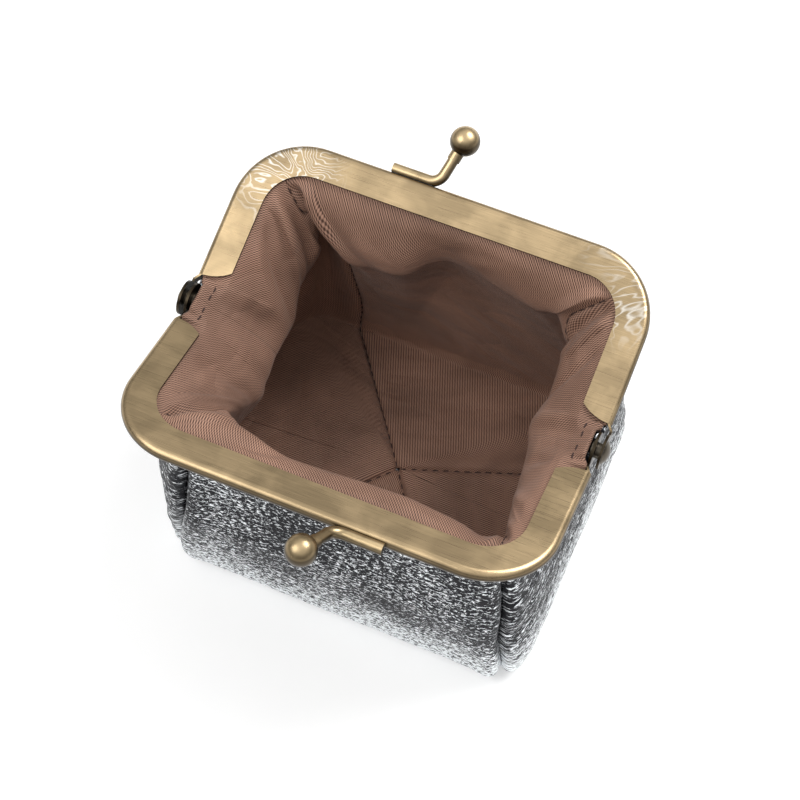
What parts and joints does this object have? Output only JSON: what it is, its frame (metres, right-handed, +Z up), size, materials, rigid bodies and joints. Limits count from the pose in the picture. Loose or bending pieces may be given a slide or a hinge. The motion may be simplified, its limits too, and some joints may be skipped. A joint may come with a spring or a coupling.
{
  "type": "kiss-lock coin purse",
  "caption": "Kiss-lock coin purse: a flat-bottomed gored leather bag with fabric lining, tucked into hinged metal channel jaws that snap shut with crossing ball clasps.",
  "frame": {"origin": "on the surface that the purse stands on, below the middle of its bounding box", "axes": "+Z up, +Y from the front jaw to the back jaw, +X along the hinge axis to the right"},
  "size_m": [0.102, 0.11, 0.0774],
  "materials": {
    "antique_brass": "brushed antique brass under clear lacquer, darker on the edges",
    "dark_brass": "blackened antique brass, semi-gloss",
    "silver_leather": "crinkled pewter foil, high gloss on the grain's crests and black between them",
    "lining_twill": "fine mauve-brown woven lining, slight sheen",
    "interlining_felt": "soft needled felt",
    "paper_cord": "twisted kraft paper"
  },
  "bodies": {
    "bag": {"leather_front": "silver_leather", "leather_right": "silver_leather", "leather_back": "silver_leather", "leather_left": "silver_leather", "interlining_front": "interlining_felt", "interlining_right": "interlining_felt", "interlining_back": "interlining_felt", "interlining_left": "interlining_felt", "lining_front": "lining_twill", "lining_right": "lining_twill", "lining_back": "lining_twill", "lining_left": "lining_twill", "left_rivet": "dark_brass", "right_rivet": "dark_brass"},
    "front_frame": {"front_jaw": "antique_brass", "front_paper_cord": "paper_cord", "front_clasp_arm": "antique_brass", "front_clasp_ball": "antique_brass"},
    "back_frame": {"back_jaw": "antique_brass", "back_paper_cord": "paper_cord", "back_clasp_arm": "antique_brass", "back_clasp_ball": "antique_brass"}
  },
  "joints": [
    {"name": "front_jaw_hinge", "type": "hinge", "parent": "bag", "child": "front_frame", "pos_m": [0, 0, 0.0565], "axis": [-1, 0, 0], "range_deg": [0, 73.3], "deforming": ["leather_front", "interlining_front", "lining_front", "leather_right", "interlining_right", "lining_right", "leather_left", "interlining_left", "lining_left"]},
    {"name": "back_jaw_hinge", "type": "hinge", "parent": "bag", "child": "back_frame", "pos_m": [0, 0, 0.0565], "axis": [1, 0, 0], "range_deg": [0, 73.3], "deforming": ["leather_back", "interlining_back", "lining_back"]}
  ],
  "couplings": [
    {"joint": "back_jaw_hinge", "follows": "front_jaw_hinge", "ratio": 1}
  ]
}
